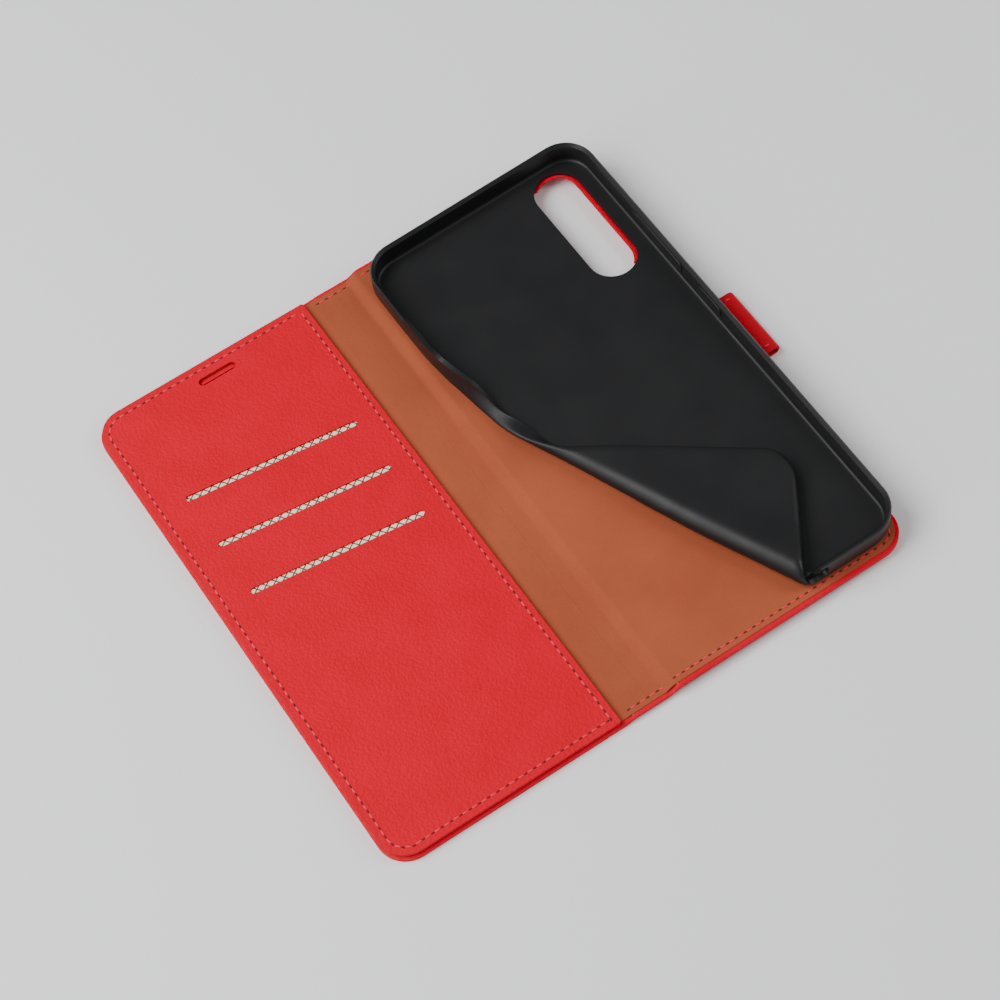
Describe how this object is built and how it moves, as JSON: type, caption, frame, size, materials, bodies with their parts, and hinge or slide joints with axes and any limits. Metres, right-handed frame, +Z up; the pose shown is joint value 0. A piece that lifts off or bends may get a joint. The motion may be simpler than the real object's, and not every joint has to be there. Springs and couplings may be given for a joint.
{
  "type": "phone wallet case",
  "caption": "Folio wallet case lying open: leather flap with slanted card slots, soft spine, rubber phone tray with one corner folded over, magnetic strap tucked under.",
  "frame": {"origin": "centre of the open case's outline, on the surface that it lies on", "axes": "+X across the open cover from the flap to the back, +Y towards the phone's top, +Z up"},
  "size_m": [0.1814, 0.172, 0.0145],
  "materials": {
    "leather_red": "satin",
    "leather_dark": "satin",
    "suede_lining": "matte",
    "stiffener_board": "matte",
    "pocket_cloth": "matte",
    "thread": "matte",
    "tray_tpu": "satin",
    "magnet_steel": "satin",
    "adhesive": "matte"
  },
  "bodies": {
    "back_panel": {"cover_back": "leather_red", "board_back": "stiffener_board", "lining_back": "suede_lining", "stitch_back": "thread", "tray_glue": "adhesive", "phone_tray": "tray_tpu", "tray_bend": "tray_tpu", "strap_tab_outer": "leather_dark", "strap_tab_inner": "leather_dark", "strap_bend": "leather_dark", "cover_fold_back": "leather_red", "lining_fold_back": "suede_lining"},
    "spine": {"cover_spine": "leather_red", "spine_strip": "stiffener_board", "lining_spine": "suede_lining", "stitch_spine": "thread"},
    "front_flap": {"cover_front": "leather_red", "board_front": "stiffener_board", "lining_front": "suede_lining", "pocket_backing": "pocket_cloth", "card_pocket_top": "pocket_cloth", "card_pocket_middle": "pocket_cloth", "card_pocket_low": "pocket_cloth", "card_panel": "leather_red", "catch_magnets": "magnet_steel", "stitch_front": "thread", "stitch_hem": "thread", "cover_fold_front": "leather_red", "lining_fold_front": "suede_lining"},
    "strap_band": {"strap_band_outer": "leather_dark", "strap_band_inner": "leather_dark", "stitch_strap": "thread"},
    "strap_tongue": {"strap_tongue_outer": "leather_dark", "strap_tongue_inner": "leather_dark", "strap_magnets": "magnet_steel"},
    "folded_corner": {"tray_corner": "tray_tpu"},
    "volume_key": {"volume_button": "tray_tpu"},
    "power_key": {"power_button": "tray_tpu"}
  },
  "joints": [
    {"name": "fold_back", "type": "hinge", "parent": "back_panel", "child": "spine", "pos_m": [0.0011, 0, 0.0017], "axis": [0, 1, 0], "range_deg": [-60, 90], "deforming": ["cover_fold_back", "lining_fold_back"]},
    {"name": "fold_front", "type": "hinge", "parent": "spine", "child": "front_flap", "pos_m": [-0.0139, 0, 0.0017], "axis": [0, 1, 0], "range_deg": [-90, 90], "deforming": ["cover_fold_front", "lining_fold_front"]},
    {"name": "strap_fold", "type": "hinge", "parent": "back_panel", "child": "strap_band", "pos_m": [0.0888, 0, 0.0019], "axis": [0, -1, 0], "range_deg": [0, 270], "deforming": ["strap_bend"]},
    {"name": "strap_wrap", "type": "hinge", "parent": "strap_band", "child": "strap_tongue", "pos_m": [0.0708, 0, 0.0009], "axis": [0, -1, 0], "range_deg": [0, 90]},
    {"name": "corner_fold", "type": "hinge", "parent": "back_panel", "child": "folded_corner", "pos_m": [0.0023, 0.0161, 0.0094], "axis": [0.4061, -0.9138, 0], "range_deg": [0, 180], "deforming": ["tray_bend"]},
    {"name": "volume_press", "type": "slide", "parent": "back_panel", "child": "volume_key", "axis": [-1, 0, 0], "range_m": [0, 0.0005], "stiffness_N_per_m": 800},
    {"name": "power_press", "type": "slide", "parent": "back_panel", "child": "power_key", "axis": [-1, 0, 0], "range_m": [0, 0.0005], "stiffness_N_per_m": 800}
  ]
}
